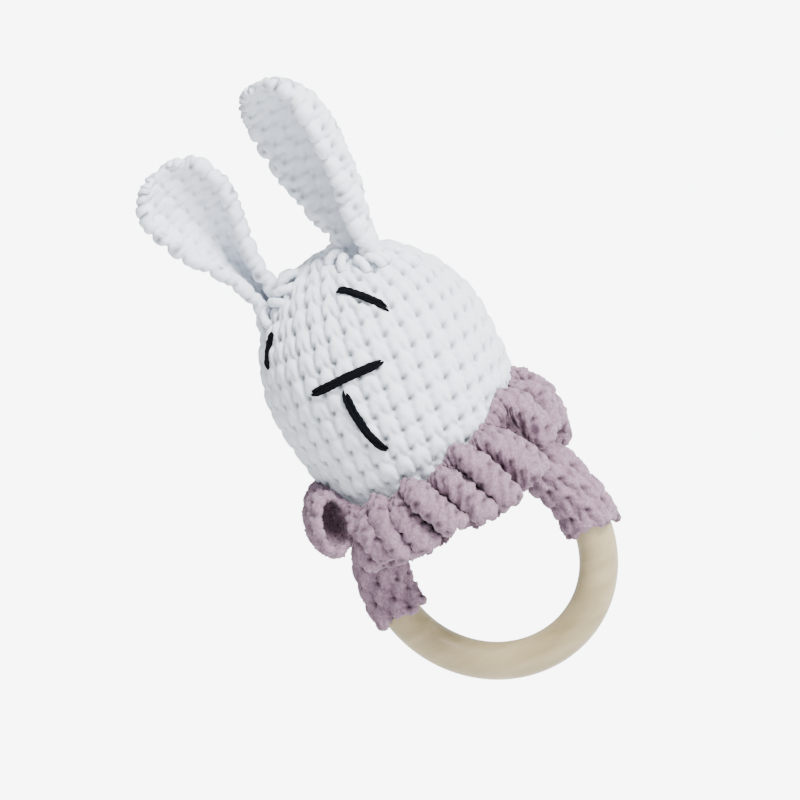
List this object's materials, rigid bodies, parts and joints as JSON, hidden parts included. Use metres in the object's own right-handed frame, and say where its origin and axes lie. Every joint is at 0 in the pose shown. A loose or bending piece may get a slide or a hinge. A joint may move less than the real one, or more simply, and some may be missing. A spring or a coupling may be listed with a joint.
{
  "type": "teething ring",
  "caption": "Wooden teething ring with a stuffed crocheted bunny head, ruffle collar and sleeve; the head rattles and turns round the ring.",
  "frame": {"origin": "centre of the wooden ring", "axes": "+Z is the bunny's up, from the ring to the ears; -Y is where its face looks; +Y is the ring's axis, out of the back"},
  "size_m": [0.0644, 0.0628, 0.1467],
  "materials": {
    "beech_wood": "smooth, unvarnished",
    "white_cotton": "single crochet in white cotton yarn",
    "mauve_cotton": "crochet in mauve cotton yarn",
    "black_thread": "embroidery thread",
    "stuffing": "loose fibre filling",
    "capsule_plastic": "moulded",
    "bead_plastic": "moulded"
  },
  "bodies": {
    "ring": {"wooden_ring": "beech_wood"},
    "sleeve": {"ring_sleeve": "mauve_cotton", "sleeve_seam": "mauve_cotton"},
    "head": {"head_cover": "white_cotton", "head_stuffing": "stuffing", "rattle_shell_lower": "capsule_plastic", "rattle_shell_upper": "capsule_plastic", "ruffle_collar": "mauve_cotton", "neck_seam": "mauve_cotton", "left_eye_thread": "black_thread", "right_eye_thread": "black_thread", "nose_thread": "black_thread", "mouth_thread": "black_thread", "left_ear_seam": "white_cotton", "right_ear_seam": "white_cotton"},
    "left_ear": {"left_ear": "white_cotton"},
    "right_ear": {"right_ear": "white_cotton"},
    "bead_1": {"rattle_bead_1": "bead_plastic"},
    "bead_2": {"rattle_bead_2": "bead_plastic"},
    "bead_3": {"rattle_bead_3": "bead_plastic"},
    "bead_4": {"rattle_bead_4": "bead_plastic"},
    "bead_5": {"rattle_bead_5": "bead_plastic"}
  },
  "joints": [
    {"name": "ring_turn", "type": "hinge", "parent": "ring", "child": "sleeve", "pos_m": [0, 0, 0], "axis": [0, 1, 0], "continuous": true},
    {"name": "head_nod", "type": "hinge", "parent": "sleeve", "child": "head", "pos_m": [0, 0, 0.0256], "axis": [1, 0, 0], "range_deg": [-15, 15], "stiffness_Nm_per_rad": 0.12},
    {"name": "left_ear_flop", "type": "hinge", "parent": "head", "child": "left_ear", "pos_m": [-0.01275, -0.00854, 0.07832], "axis": [1, 0, 0], "range_deg": [-45, 60], "stiffness_Nm_per_rad": 0.004},
    {"name": "right_ear_flop", "type": "hinge", "parent": "head", "child": "right_ear", "pos_m": [0.01184, -0.00854, 0.07877], "axis": [1, 0, 0], "range_deg": [-45, 60], "stiffness_Nm_per_rad": 0.004},
    {"name": "bead_1_slide", "type": "slide", "parent": "head", "child": "bead_1", "axis": [0, 0, 1], "range_m": [0, 0.0116]},
    {"name": "bead_2_slide", "type": "slide", "parent": "head", "child": "bead_2", "axis": [0, 0, 1], "range_m": [0, 0.0116]},
    {"name": "bead_3_slide", "type": "slide", "parent": "head", "child": "bead_3", "axis": [0, 0, 1], "range_m": [0, 0.0116]},
    {"name": "bead_4_slide", "type": "slide", "parent": "head", "child": "bead_4", "axis": [0, 0, 1], "range_m": [0, 0.0116]},
    {"name": "bead_5_slide", "type": "slide", "parent": "head", "child": "bead_5", "axis": [0, 0, 1], "range_m": [0, 0.0116]}
  ]
}
